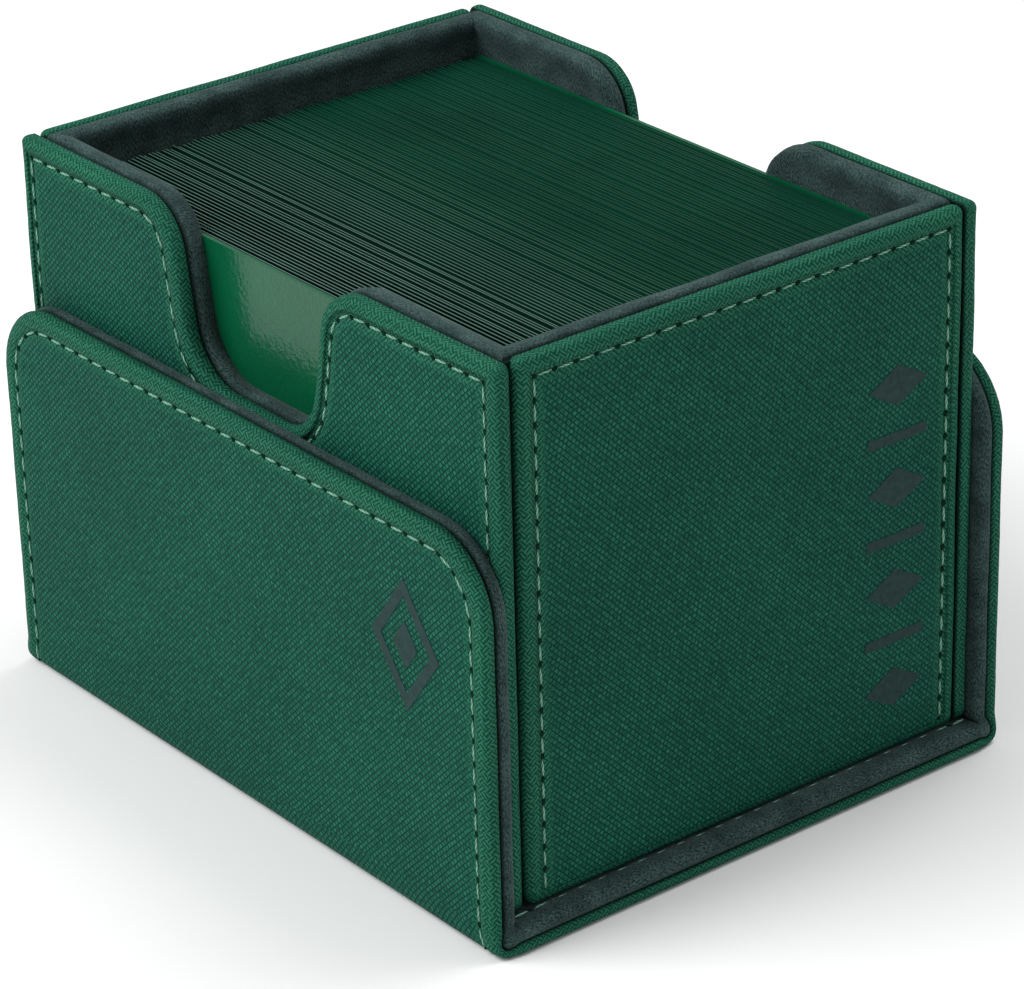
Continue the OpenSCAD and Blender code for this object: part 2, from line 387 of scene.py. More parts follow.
def cover_fabric():
    """Green coated fabric: slanting rows of raised cells, each crossed by a few pale fibres; the
    pale flecks also stand as painted highlights on the cells.

    In the margins outside the seams the cells are pressed flat, and a basket weave shows instead.
    """
    made, shader, tree = material("textured cover", (0.02, 0.10, 0.066), 0.6)
    link = tree.links.new
    cloth = node(tree, "ShaderNodeUVMap", uv_map="cloth").outputs["UV"]
    wander = coarse_noise(tree, cloth, 260, 2)
    nudge = node(tree, "ShaderNodeVectorMath", operation="MULTIPLY_ADD")
    nudge.inputs[1].default_value = (0.00016, 0.00016, 0)
    link(wander.outputs["Color"], nudge.inputs[0])
    link(cloth, nudge.inputs[2])
    slant = node(tree, "ShaderNodeMapping", Rotation=(0, 0, math.radians(-45)), Scale=(MM, MM, 1))
    slant.vector_type = "TEXTURE"
    link(nudge.outputs["Vector"], slant.inputs["Vector"])
    cells = node(tree, "ShaderNodeTexBrick", offset=0.5, Scale=1.0, Mortar_Size=0.17,
                 Mortar_Smooth=1.0, Bias=0.0, Brick_Width=0.8, Row_Height=0.67)
    cells.inputs["Color1"].default_value = (0.5, 0.5, 0.5, 1)
    cells.inputs["Color2"].default_value = (0.78, 0.78, 0.78, 1)
    cells.inputs["Mortar"].default_value = (0.08, 0.08, 0.08, 1)
    link(slant.outputs["Vector"], cells.inputs["Vector"])
    thin = node(tree, "ShaderNodeMapping", Scale=(4.2, 1.5, 1))
    link(slant.outputs["Vector"], thin.inputs["Vector"])
    fibres = coarse_noise(tree, thin.outputs["Vector"], 1.0, 2)
    contrast = node(tree, "ShaderNodeMath", operation="MULTIPLY_ADD")
    contrast.inputs[1].default_value = 3
    contrast.inputs[2].default_value = -0.5
    link(fibres.outputs["Fac"], contrast.inputs[0])
    relief = node(tree, "ShaderNodeMath", operation="MULTIPLY")
    link(cells.outputs["Color"], relief.inputs[0])
    link(contrast.outputs["Value"], relief.inputs[1])
    # The pale end of this ramp is partly the fibres' own colour and partly painted highlights on
    # the cells.
    field_and_glints = ramp(tree, relief.outputs["Value"], (0.0005, 0.029, 0.018), (0.025, 0.180, 0.116),
                 0.05)
    strokes = []
    for way in ("X", "Y"):
        yarn = node(tree, "ShaderNodeTexWave", bands_direction=way, Scale=0.62, Distortion=2.0,
                    Detail=1.0, Detail_Scale=1.5)
        link(slant.outputs["Vector"], yarn.inputs["Vector"])
        strokes.append(yarn.outputs["Fac"])
    basket = node(tree, "ShaderNodeTexChecker", Scale=1.0)
    link(slant.outputs["Vector"], basket.inputs["Vector"])
    braid = node(tree, "ShaderNodeMix")
    link(basket.outputs["Fac"], braid.inputs["Factor"])
    link(strokes[0], braid.inputs[2])
    link(strokes[1], braid.inputs[3])
    braid_and_glints = node(tree, "ShaderNodeMath", operation="MULTIPLY")
    link(braid.outputs[0], braid_and_glints.inputs[0])
    link(contrast.outputs["Value"], braid_and_glints.inputs[1])
    # The pale end of the margin's ramp is partly painted highlights on the braid's ridges.
    margin_and_glints = ramp(tree, braid_and_glints.outputs["Value"], (0.003, 0.056, 0.031), (0.034, 0.180, 0.112),
                 0.1, 1.0)
    edge = node(tree, "ShaderNodeAttribute", attribute_name="margin")
    both = node(tree, "ShaderNodeMix", data_type="RGBA")
    link(edge.outputs["Fac"], both.inputs["Factor"])
    link(field_and_glints.outputs["Color"], both.inputs[6])
    link(margin_and_glints.outputs["Color"], both.inputs[7])
    height = node(tree, "ShaderNodeMix")
    link(edge.outputs["Fac"], height.inputs["Factor"])
    link(relief.outputs["Value"], height.inputs[2])
    shallow = node(tree, "ShaderNodeMath", operation="MULTIPLY")
    shallow.inputs[1].default_value = 0.45
    link(braid_and_glints.outputs["Value"], shallow.inputs[0])
    link(shallow.outputs["Value"], height.inputs[3])
    cloudy = coarse_noise(tree, cloth, 38, 4)
    shade = ramp(tree, cloudy.outputs["Fac"], (0.78, 0.80, 0.82), (1.0, 1.0, 1.0), 0.3, 0.7)
    tint = node(tree, "ShaderNodeMix", data_type="RGBA", blend_type="MULTIPLY")
    tint.inputs["Factor"].default_value = 1
    link(both.outputs[2], tint.inputs[6])
    link(shade.outputs["Color"], tint.inputs[7])
    paint_crease_shade(tree, tint.outputs[2], shader)
    bumped(tree, shader, height.outputs[0], 0.13 * MM, 0.9)
    shader.inputs["Specular IOR Level"].default_value = 0.04
    return made


cover_paint = cover_fabric()
FLAP_FACE = FLAP_OUT - FLAP_SPLIT


def swollen(thickness, seam_in=SEAM_IN, groove=0.3, tuck=1.0):
    """The section of a covered edge: rolled round the board, then down into the sewn groove.

    tuck is how far the edge draws in again behind the roll, and so how deep and dark its crease is;
    the crease carries painted shade as well as its own shadow.
    """
    t = thickness
    return [
        (1.1 * tuck, 0.0), (0.5 * tuck, 0.08), (0.12 * tuck, 0.36),
        (0.0, 0.52 * t), (0.08, 0.74 * t), (0.3, 0.89 * t),
        (0.7, 0.99 * t), (1.3, 1.05 * t), (2.0, t + 0.13), (seam_in - 0.75, t + 0.06),
        (seam_in - 0.35, t - 0.12), (seam_in, t - groove), (seam_in + 0.35, t - 0.2),
        (seam_in + 0.8, t - 0.07), (seam_in + 1.6, t - 0.02), (seam_in + 3, t),
        (seam_in + 4.5, t),
    ]


for side in ("front", "back"):
    bm = panel(flap_shape, swollen(FLAP_FACE, LID_SEAM_IN), closed=False, hand=-1)
    faced(bm, side, FLAP_SPLIT)
    made = piece(f"{side}_flap_shell", bm, cover_paint, f"{side}_flap")
    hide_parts(f"{side}_flap_cover")


# ---- Suede linings of the two flaps ----------------------------------------------------------
# The inside of each flap is a brushed microfibre cloth over thin foam. Its edge is turned in and
# lies beside the cover's rolled edge as a soft grey-green cord, with a dark crease between them,
# which carries painted shade as well as its own shadow.
def suede():
    """Brushed microfibre: short matt pile with lighter and darker strokes."""
    made, shader, tree = material("brushed lining", (0.03, 0.05, 0.05), 0.95)
    link = tree.links.new
    cloth = node(tree, "ShaderNodeUVMap", uv_map="cloth").outputs["UV"]
    combed = node(tree, "ShaderNodeMapping", Rotation=(0, 0, math.radians(35)),
                  Scale=(5200, 2300, 1))
    link(cloth, combed.inputs["Vector"])
    pile = coarse_noise(tree, combed.outputs["Vector"], 1.0, 3)
    strokes = coarse_noise(tree, cloth, 240, 4)
    fine = ramp(tree, pile.outputs["Fac"], (0.006, 0.022, 0.022), (0.092, 0.150, 0.140), 0.34, 0.72)
    broad = ramp(tree, strokes.outputs["Fac"], (0.5, 0.53, 0.55), (1.0, 1.0, 1.0), 0.32, 0.66)
    tint = node(tree, "ShaderNodeMix", data_type="RGBA", blend_type="MULTIPLY")
    tint.inputs["Factor"].default_value = 1
    link(fine.outputs["Color"], tint.inputs[6])
    link(broad.outputs["Color"], tint.inputs[7])
    paint_crease_shade(tree, tint.outputs[2], shader)
    shader.inputs["Sheen Weight"].default_value = 0.12
    shader.inputs["Sheen Roughness"].default_value = 0.45
    shader.inputs["Sheen Tint"].default_value = (0.55, 0.75, 0.72, 1)
    shader.inputs["Specular IOR Level"].default_value = 0.04
    bumped(tree, shader, pile.outputs["Fac"], 0.12 * MM, 0.8)
    return made


suede_paint = suede()
FLAP_SUEDE = FLAP_SPLIT - FLAP_IN
LID_PLUMP = 1.12


def soft_roll(t, plump=1.02, tuck=1.0):
    """The section of a lining's turned edge, almost half round and plump times as thick."""
    return [
        (0.9 * tuck, 0.0), (0.4 * tuck, 0.06), (0.1 * tuck, 0.26 * t), (0.0, 0.52 * t),
        (0.1, 0.74 * t), (0.4, 0.93 * plump * t), (0.9, 0.99 * plump * t), (1.6, plump * t),
        (2.4, (0.4 + 0.6 * plump) * t), (4.0, 0.96 * t), (6.0, 0.96 * t),
    ]


for side in ("front", "back"):
    bm = panel(flap_shape, soft_roll(FLAP_SUEDE, LID_PLUMP), closed=False, wobble=0.1)
    faced(bm, OPPOSITE[side], -FLAP_SPLIT)
    made = piece(f"{side}_flap_suede", bm, suede_paint, f"{side}_flap")
    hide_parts(f"{side}_flap_lining")


# ---- Soft folds and the lid's base -----------------------------------------------------------
# Cover and lining run on without a seam from each flap, round a soft bend with no board in it,
# and across the base. The base is what the box stands on while the lid is used as its tray.
FOLD_STEPS = 12
BEND_POWER = 4
BEND_THIN = 0.25
MITRE = 1.1
INNER_RADIUS = FLAP_SPLIT - FOLD_Y
BASE_STEPS = 32
BASE_FLAT = 0.93
BASE_SPLIT = LID_T - INNER_RADIUS
BASE_THINNING = 6


def cross_section(section, half):
    """A panel's whole cross section from its left edge to its right, and its fabric's places."""
    left = [(-half + inset, height, -half + far)
            for (inset, height), far in zip(section, unrolled(section))]
    mirrored = [(-x, height, -far) for x, height, far in left[::-1]]
    return left + mirrored


def strip(section, half, stations):
    """Lofts a cross section through stations: (matrix, height factor, place along the fabric)."""
    bm = bmesh.new()
    cloth = bm.loops.layers.uv.new("cloth")
    margin = bm.verts.layers.float.new("margin")
    crease_shade = bm.verts.layers.float.new("crease_shade")
    flat = {}
    rings = []
    profile = cross_section(section, half)
    for turn, tall, along in stations:
        points = [turn @ Vector((x, 0, height * tall)) for x, height, far in profile]
        if rings:
            rings.append(draw_on(bm, rings[-1], points, True))
        else:
            rings.append(first_ring(bm, points, True))
        for vertex, (x, height, far) in zip(rings[-1], profile):
            flat[vertex] = Vector((-far, along)) * MM
            vertex[margin] = 1 - min(1, max(0, (half - abs(far) - SEAM_IN) / MARGIN_FADE))
            # Painted shade at the foot of each turned-in edge.
            vertex[crease_shade] = max(0, 1 - height / CREASE_SHADE_HEIGHT)
    for ring in (rings[0], rings[-1]):
        end = bm.faces.new(ring)
        for e in end.edges:
            e.smooth = False
    for face in bm.faces:
        face.smooth = True
        for loop in face.loops:
            loop[cloth].uv = flat[loop.vert]
    return bm


def squareness(turn):
    """How much further out a bend runs than a round one would: most at its middle."""
    return (math.cos(turn) ** BEND_POWER + math.sin(turn) ** BEND_POWER) ** (-1 / BEND_POWER)


def narrowing(step):
    """The width of the bend as a share of the base's; the flap's end of it is the narrower."""
    return (HALF_FLAP + (HALF_LID - HALF_FLAP) * step / FOLD_STEPS) / HALF_LID


def round_the_bend(side, inner, outwards):
    """Stations round a fold, from the flap down to the base; inner is the split's radius.

    The cover thins in the middle of the bend and the lining fills its corner, as in a mitre.
    """
    stations = []
    hand = -1 if side == "front" else 1
    for step in range(FOLD_STEPS + 1):
        turn = math.radians(90 * step / FOLD_STEPS)
        out = Vector((0, hand * math.cos(turn), -math.sin(turn)))
        mitre = MITRE * math.sin(2 * turn) ** 2
        middle = Vector((0, hand * FOLD_Y, LID_T)) + out * (inner * squareness(turn) + mitre)
        across = Vector((-hand * outwards * narrowing(step), 0, 0))
        along = (out * outwards).cross(across)
        station = Matrix((across, along, out * outwards)).transposed().to_4x4()
        station.translation = middle
        flatter = 1 + (BASE_FLAT - 1) * step / FOLD_STEPS if outwards > 0 else 1
        thinner = 1 if outwards > 0 else 1 - BEND_THIN * math.sin(2 * turn)
        flatter *= squareness(turn) * thinner
        flatter -= mitre / FLAP_FACE if outwards > 0 else -mitre / FLAP_SUEDE
        stations.append((station, flatter, LID_T - (FLAP_OUT - FOLD_Y) * turn))
    return stations


def along_base(top, lift, start, end):
    """Stations across the base, with its back at lift and its face up (top 1) or down (-1)."""
    stations = []
    for step in range(BASE_STEPS + 1):
        y = start + (end - start) * step / BASE_STEPS
        station = Matrix(((top, 0, 0), (0, 1, 0), (0, 0, top))).to_4x4()
        station.translation = Vector((0, y, lift))
        stations.append((station, y))
    return stations


base_cover = [(m, BASE_FLAT, y) for m, y in along_base(-1, BASE_SPLIT, -FOLD_Y, FOLD_Y)]
bm = strip(swollen(FLAP_FACE, LID_SEAM_IN), HALF_LID, base_cover)
made = piece("base_shell", bm, cover_paint, "lid_base")
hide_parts("lid_cover")

# The base's lining is as thick as the room under the tray, and thins where it meets the folds.
base_room = (LID_T - BASE_SPLIT) / FLAP_SUEDE
base_suede = []
for station, y in along_base(1, BASE_SPLIT, -FOLD_Y, FOLD_Y):
    near = min(1, (FOLD_Y - abs(y)) / BASE_THINNING)
    base_suede.append((station, 1 + (base_room - 1) * near * near * (3 - 2 * near), y))
bm = strip(soft_roll(FLAP_SUEDE, LID_PLUMP), HALF_LID, base_suede)
made = piece("base_suede", bm, suede_paint, "lid_base")
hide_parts("lid_lining")

for side, hand in (("front", -1), ("back", 1)):
    for name, section, outwards, paint, finish in (
            ("cover", swollen(FLAP_FACE, LID_SEAM_IN), 1, cover_paint, "cover"),
            ("suede", soft_roll(FLAP_SUEDE, LID_PLUMP), -1, suede_paint, "lining")):
        bm = strip(section, HALF_LID, round_the_bend(side, INNER_RADIUS, outwards))
        made = piece(f"{side}_fold_{name}", bm, paint)
        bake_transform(made)
    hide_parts(f"{side}_fold")


# ---- Tray walls ------------------------------------------------------------------------------
# Two notched walls and two plain end walls, each a covered board. The notched walls run the whole
# length and hide the ends of the plain ones, so a dark upright crease shows beside each corner, its
# own shadow deepened with painted shade. The right end wall sits a little towards the back, which
# makes its front crease the wider one.
HALF_TRAY = tray_high.x
TRAY_OUT = -tray_low.y
FOAM_PUSH = 0.2
WALL_SPLIT = -tray_high.y + FOAM_PUSH
WALL_T = TRAY_OUT - WALL_SPLIT
TRAY_FOOT = tray_low.z
RIM = tray_high.z
RIM_CORNER = 1.2
NOTCH_DEEP = 23.4
NOTCH_HALF = 15
NOTCH_LEAN = math.radians(10)
SHOULDER = 8
NOTCH_CORNER = 9
CREASE = 0.6
END_SHIFT = 0.4
WALL_SEAM_IN = 2.6
NOTCHED_TUCK = 0.55
END_TUCK = 1.15
FOOT_DRAW = 0.06


def notch_arcs(inset):
    """The notch's four arcs, from its right shoulder round to its left one."""
    halfway = NOTCH_DEEP / 2
    lean = math.cos(NOTCH_LEAN)
    slope = math.sin(NOTCH_LEAN)
    shoulder = NOTCH_HALF + (SHOULDER - (SHOULDER - halfway) * slope) / lean
    hollow = NOTCH_HALF - (NOTCH_CORNER + (NOTCH_DEEP - NOTCH_CORNER - halfway) * slope) / lean
    high = RIM - SHOULDER
    low = RIM - NOTCH_DEEP + NOTCH_CORNER
    tilt = math.degrees(NOTCH_LEAN)
    return [
        (Vector((shoulder, high)), SHOULDER - inset, 90, 180 - tilt),
        (Vector((hollow, low)), -NOTCH_CORNER - inset, 180 - tilt, 90),
        (Vector((-hollow, low)), -NOTCH_CORNER - inset, 90, tilt),
        (Vector((-shoulder, high)), SHOULDER - inset, tilt, 90),
    ]


def wall_shape(half, foot, notched, hem=HEM, rim=None, shift=0.0):
    """A wall's outline; its foot is only drawn in as far as its hem, because it has no seam."""
    rim = RIM if rim is None else rim

    def shape(inset):
        drop = min(inset, hem) + FOOT_DRAW * max(0, inset - hem)
        left = square_corner(shift - half, foot, -1, -1, RIM_CORNER, inset, drop)
        first = square_corner(shift + half, foot, 1, -1, RIM_CORNER, inset, drop)
        top_right = square_corner(shift + half, rim, 1, 1, RIM_CORNER, inset)
        top_left = square_corner(shift - half, rim, -1, 1, RIM_CORNER, inset)
        notch = notch_arcs(inset + RIM - rim) if notched else []
        return [first, top_right, *notch, top_left, left]

    return shape


walls = {
    "front": (wall_shape(HALF_TRAY, TRAY_FOOT, True), WALL_SPLIT, "front_wall"),
    "back": (wall_shape(HALF_TRAY, TRAY_FOOT, True), WALL_SPLIT, "back_wall"),
    "right": (wall_shape(WALL_SPLIT - CREASE, TRAY_FOOT, False, shift=END_SHIFT),
              HALF_TRAY - WALL_T, "right_end"),
    "left": (wall_shape(WALL_SPLIT - CREASE, TRAY_FOOT, False), HALF_TRAY - WALL_T, "left_end"),
}
for side, (shape, away, name) in walls.items():
    notched = side in ("front", "back")
    section = swollen(WALL_T, WALL_SEAM_IN, tuck=NOTCHED_TUCK if notched else END_TUCK)
    bm = panel(shape, section, hand=-1 if notched else 1, foot=TRAY_FOOT)
    faced(bm, side, away)
    made = piece(f"{name}_shell", bm, cover_paint, "tray")
    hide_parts(f"{name}_cover")


# ---- Corner joints ---------------------------------------------------------------------------
# A narrow strip of the same coated fabric runs up inside each corner of the tray. It holds the
# notched wall to the plain one, and is painted almost wholly with crease shade, so that it shows as
# the dark bottom of the crease between them.
JOINT_DEEP = 0.7
JOINT_WIDE = 1.8
JOINT_DROP = 0.5
JOINT_SHADE = 0.9
bm = bmesh.new()
bm.loops.layers.uv.new("cloth")
crease_shade = bm.verts.layers.float.new("crease_shade")
joint_tall = RIM - TRAY_FOOT - 2 * JOINT_DROP
for x in (-1, 1):
    for y in (-1, 1):
        middle = Vector((
            x * (HALF_TRAY - WALL_T + JOINT_DEEP / 2),
            y * (WALL_SPLIT - JOINT_WIDE / 2),
            TRAY_FOOT + JOINT_DROP + joint_tall / 2,
        ))
        stretch = Matrix.Diagonal((JOINT_DEEP, JOINT_WIDE, joint_tall, 1))
        bmesh.ops.create_cube(bm, size=1, matrix=Matrix.Translation(middle) @ stretch)
# The whole strip carries painted crease shade.
for vertex in bm.verts:
    vertex[crease_shade] = JOINT_SHADE
piece("corner_joints", bm, cover_paint, "tray")


# ---- Tray linings and floor ------------------------------------------------------------------
# The same brushed cloth over foam lines the tray. It stands a hair above the cover's rim, as a
# second, softer roll, and its corners are butted together.
LINING_T = (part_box("front_wall_lining")[1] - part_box("front_wall_lining")[0]).y / MM + FOAM_PUSH
LINING_PLUMP = 1.28
LINING_TUCK = 1.5
LINING_HEM = 9
FLOOR_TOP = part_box("floor_lining")[1].z / MM
LINING_ABOVE = 0.2
HALF_INNER = HALF_TRAY - WALL_T
inner_rim = RIM + LINING_ABOVE
linings = {
    "front": (HALF_INNER, True, WALL_SPLIT, "front_wall"),
    "back": (HALF_INNER, True, WALL_SPLIT, "back_wall"),
    "right": (WALL_SPLIT, False, HALF_INNER, "right_end"),
    "left": (WALL_SPLIT, False, HALF_INNER, "left_end"),
}
for side, (half, notched, away, name) in linings.items():
    shape = wall_shape(half, FLOOR_TOP, notched, LINING_HEM, inner_rim)
    bm = panel(shape, soft_roll(LINING_T, LINING_PLUMP, LINING_TUCK), wobble=0.12)
    faced(bm, OPPOSITE[side], -away)
    made = piece(f"{name}_suede", bm, suede_paint, "tray")
    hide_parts(f"{name}_lining")


def floor_shape(inset):
    """The floor panel's outline."""
    corners = ((1, -1), (1, 1), (-1, 1), (-1, -1))
    return [square_corner(side * HALF_INNER, lift * WALL_SPLIT, side, lift, 1, inset)
            for side, lift in corners]


floor_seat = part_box("floor_lining")[0].z / MM
for name, facing, away, section, paint, finish, cad in (
        ("floor_shell", "down", -floor_seat, swollen(floor_seat - TRAY_FOOT, groove=0.05),
         cover_paint, "cover", "floor_cover"),
        ("floor_suede", "up", floor_seat, soft_roll(FLOOR_TOP - floor_seat),
         suede_paint, "lining", "floor_lining")):
    bm = panel(floor_shape, section)
    faced(bm, facing, away)
    made = piece(name, bm, paint, "tray")
    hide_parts(cad)


# ---- Boards and magnets ----------------------------------------------------------------------
# Raw greyboard stiffens every panel, and a pair of nickel-plated discs in each flap meets a pair
# in the wall behind it. All of them are sealed in, so only a cut panel would show them.
board_paint, board_shader, board_tree = material("raw greyboard", (0.42, 0.38, 0.31), 0.95)
board_places = node(board_tree, "ShaderNodeTexCoord").outputs["Object"]
pulp = coarse_noise(board_tree, board_places, 900, 5)
speckle = ramp(board_tree, pulp.outputs["Fac"], (0.30, 0.27, 0.22), (0.50, 0.46, 0.38), 0.35, 0.65)
board_tree.links.new(speckle.outputs["Color"], board_shader.inputs["Base Color"])
bumped(board_tree, board_shader, pulp.outputs["Fac"], 0.05 * MM)
magnet_paint, magnet_shader, magnet_tree = material("nickel plate", (0.68, 0.66, 0.62), 0.25)
magnet_shader.inputs["Metallic"].default_value = 1
magnet_places = node(magnet_tree, "ShaderNodeTexCoord").outputs["Object"]
haze = coarse_noise(magnet_tree, magnet_places, 700)
tarnish = ramp(magnet_tree, haze.outputs["Fac"], (0.60, 0.57, 0.52), (0.74, 0.72, 0.68), 0.35, 0.65)
magnet_tree.links.new(tarnish.outputs["Color"], magnet_shader.inputs["Base Color"])
bumped(magnet_tree, magnet_shader, haze.outputs["Fac"], 0.01 * MM)
for name, cad_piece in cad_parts.items():
    if name.endswith("_board"):
        cad_piece.material_slots[0].material = board_paint
    elif name.endswith("_magnets"):
        cad_piece.material_slots[0].material = magnet_paint


# ---- Stitching -------------------------------------------------------------------------------
# Pale green polyester thread, lockstitched through cover, board edge and lining. Each stitch is a
# plump little length of twisted yarn that dives into a needle hole at both ends. Each hole is a
# flat bead painted near black with the shade inside the hole.
STITCH_PITCH = 3.3
STITCH_GAP = 0.5
THREAD_R = 0.18
THREAD_SINK = 0.13
HOLE_R = 0.42
HOLE_SINK = 0.2
HOLE_DEEP = 0.1
SHELF_STITCH = 0.08
CORNER_STEP = 0.02

thread_paint, thread_shader, thread_tree = material("pale thread", (0.36, 0.60, 0.50), 0.6)
yarn = node(thread_tree, "ShaderNodeUVMap", uv_map="cloth").outputs["UV"]
twist = node(thread_tree, "ShaderNodeTexWave", Scale=1.0, Distortion=0.6)
lay = node(thread_tree, "ShaderNodeMapping", Rotation=(0, 0, math.radians(28)), Scale=(1, 2.4, 1))
thread_tree.links.new(yarn, lay.inputs["Vector"])
thread_tree.links.new(lay.outputs["Vector"], twist.inputs["Vector"])
strands = ramp(thread_tree, twist.outputs["Fac"], (0.06, 0.20, 0.13), (0.28, 0.52, 0.40), 0.1, 0.8)
thread_tree.links.new(strands.outputs["Color"], thread_shader.inputs["Base Color"])
thread_shader.inputs["Specular IOR Level"].default_value = 0.15
bumped(thread_tree, thread_shader, twist.outputs["Fac"], 0.06 * MM, 0.8)
# The needle holes' near-black colour is painted shade, as inside a hole; the speckle varies it at
# random.
hole_paint, hole_shader, hole_tree = material("needle hole", (0.004, 0.012, 0.010), 1.0)
hole_places = node(hole_tree, "ShaderNodeTexCoord").outputs["Object"]
hole_shade_speckle = ramp(hole_tree, coarse_noise(hole_tree, hole_places, 1500).outputs["Fac"],
                 (0.002, 0.008, 0.006), (0.010, 0.030, 0.022))
hole_shader.inputs["Specular IOR Level"].default_value = 0
hole_tree.links.new(hole_shade_speckle.outputs["Color"], hole_shader.inputs["Base Color"])


def legs(points):
    """Cuts a path at its sharp corners, where the outline's points lie close together."""
    made = [[points[0]]]
    for a, b in zip(points, points[1:]):
        if (b - a).length < CORNER_STEP:
            made.append([b])
        else:
            made[-1].append(b)
    return [leg for leg in made if len(leg) > 1]


def spot(path, reach):
    """The point that lies reach along a path."""
    for a, b in zip(path, path[1:]):
        length = (b - a).length
        if reach <= length:
            return a.lerp(b, reach / length)
        reach -= length
    return path[-1].copy()


def one_bead():
    """The mesh of a smooth ball of radius 1, which every stitch and needle hole is made from."""
    bm = bmesh.new()
    bm.loops.layers.uv.new("cloth")
    bmesh.ops.create_uvsphere(bm, u_segments=8, v_segments=7, radius=1, calc_uvs=True)
    for face in bm.faces:
        face.smooth = True
    mesh = bpy.data.meshes.new("one bead")
    bm.to_mesh(mesh)
    bm.free()
    return mesh


ball = one_bead()


def bead(bm, middle, along, out, size, paint):
    """An ellipsoid at middle, with its length along one direction and its height along out."""
    across = out.cross(along).normalized()
    turn = Matrix((across * size[0], out * size[2], along * size[1])).transposed().to_4x4()
    turn.translation = middle
    bm.from_mesh(ball)
    bm.verts.ensure_lookup_table()
    bm.faces.ensure_lookup_table()
    for vertex in bm.verts[-len(ball.vertices):]:
        vertex.co = turn @ vertex.co
    for face in bm.faces[-len(ball.polygons):]:
        face.material_index = paint


def sew(bm, path, out, rng):
    """A row of stitches along a path of 3-D points; out(point) is the panel's way out there."""
    length = sum((b - a).length for a, b in zip(path, path[1:]))
    count = max(1, round(length / STITCH_PITCH))
    pitch = length / count
    for number in range(count):
        a = spot(path, number * pitch + STITCH_GAP)
        b = spot(path, (number + 1) * pitch - STITCH_GAP)
        middle = spot(path, (number + 0.5) * pitch)
        away = out(middle)
        along = (b - a).normalized()
        slant = 0.05 + 0.05 * (rng.random() - 0.5)
        along = (along + slant * away.cross(along)).normalized()
        plump = THREAD_R * (0.94 + 0.12 * rng.random())
        half = (b - a).length / 2
        bead(bm, middle - away * THREAD_SINK, along, away, (plump, half, plump * 0.95), 0)
        hole = spot(path, number * pitch) - away * HOLE_SINK
        bead(bm, hole, along, away, (HOLE_R, HOLE_R, HOLE_DEEP), 1)


def thread_piece(name, bm, body=None):
    """The finished stitches of one panel."""
    return piece(name, bm, [thread_paint, hole_paint], body)


def sewn_outline(shape, seam_in, height, closed):
    """The stitches round a flat panel, leaving out the foot, which has none."""
    bm = bmesh.new()
    bm.loops.layers.uv.new("cloth")
    rng = random.Random(7)
    points = outline(shape, seam_in)
    if closed:
        points.append(points[0])
    for leg in legs(points):
        if closed and max(point.y for point in leg) < TRAY_FOOT + 5:
            continue
        path = [Vector((point.x, point.y, height)) for point in leg]
        sew(bm, path, lambda place: Vector((0, 0, 1)), rng)
    return bm


for side, (shape, away, name) in walls.items():
    bm = sewn_outline(shape, WALL_SEAM_IN, WALL_T, True)
    faced(bm, side, away)
    thread_piece(f"{name}_thread", bm, "tray")
for side in ("front", "back"):
    bm = sewn_outline(flap_shape, LID_SEAM_IN, FLAP_FACE, False)
    faced(bm, side, FLAP_SPLIT)
    thread_piece(f"{side}_flap_thread", bm, f"{side}_flap")
    bm = sewn_outline(flap_shape, LID_SEAM_IN, FLAP_SUEDE * 0.98, False)
    faced(bm, OPPOSITE[side], -FLAP_SPLIT)
    thread_piece(f"{side}_flap_inner_thread", bm, f"{side}_flap")

# Down the base's two ends, above and below, and round the folds between them.
seam_x = HALF_LID - LID_SEAM_IN
FLAT_YZ = Vector((0, 1, 1))
rng = random.Random(11)
bm = bmesh.new()
bm.loops.layers.uv.new("cloth")
for x in (-seam_x, seam_x):
    for z, out in ((BASE_SPLIT - BASE_FLAT * FLAP_FACE, -1), (LID_T + SHELF_STITCH, 1)):
        path = [Vector((x, -FOLD_Y, z)), Vector((x, FOLD_Y, z))]
        sew(bm, path, lambda place, out=out: Vector((0, 0, out)), rng)
thread_piece("base_thread", bm, "lid_base")
for side, hand in (("front", -1), ("back", 1)):
    bm = bmesh.new()
    bm.loops.layers.uv.new("cloth")
    for x in (-seam_x, seam_x):
        middle = Vector((x, hand * FOLD_Y, LID_T))
        path = []
        for step in range(FOLD_STEPS + 1):
            turn = math.radians(90 * step / FOLD_STEPS)
            ray = Vector((0, hand * math.cos(turn), -math.sin(turn)))
            slide = Vector((x * (narrowing(step) - 1), 0, 0))
            path.append(middle + slide + ray * (FLAP_OUT - FOLD_Y - 0.05) * squareness(turn))
        sew(bm, path, lambda place, middle=middle: ((place - middle) * FLAT_YZ).normalized(), rng)
    made = thread_piece(f"{side}_fold_thread", bm)
    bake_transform(made)


# ---- Pressed marks ---------------------------------------------------------------------------
# Plain ornaments in smooth dark foil, pressed onto the cover: a framed lozenge near the right end
# of the front flap, and an upright row of bars and lozenges near the back edge of the right end
# wall.
FOIL_T = 0.07
mark_paint, mark_shader, mark_tree = material("pressed foil", (0.010, 0.036, 0.034), 0.5)
mark_places = node(mark_tree, "ShaderNodeTexCoord").outputs["Object"]
mark_grain = coarse_noise(mark_tree, mark_places, 1300, 3)
mark_tint = ramp(mark_tree, mark_grain.outputs["Fac"], (0.007, 0.028, 0.026),
                 (0.014, 0.044, 0.042), 0.3, 0.7)
mark_tree.links.new(mark_tint.outputs["Color"], mark_shader.inputs["Base Color"])
mark_shader.inputs["Specular IOR Level"].default_value = 0.12
bumped(mark_tree, mark_shader, mark_grain.outputs["Fac"], 0.02 * MM, 0.6)


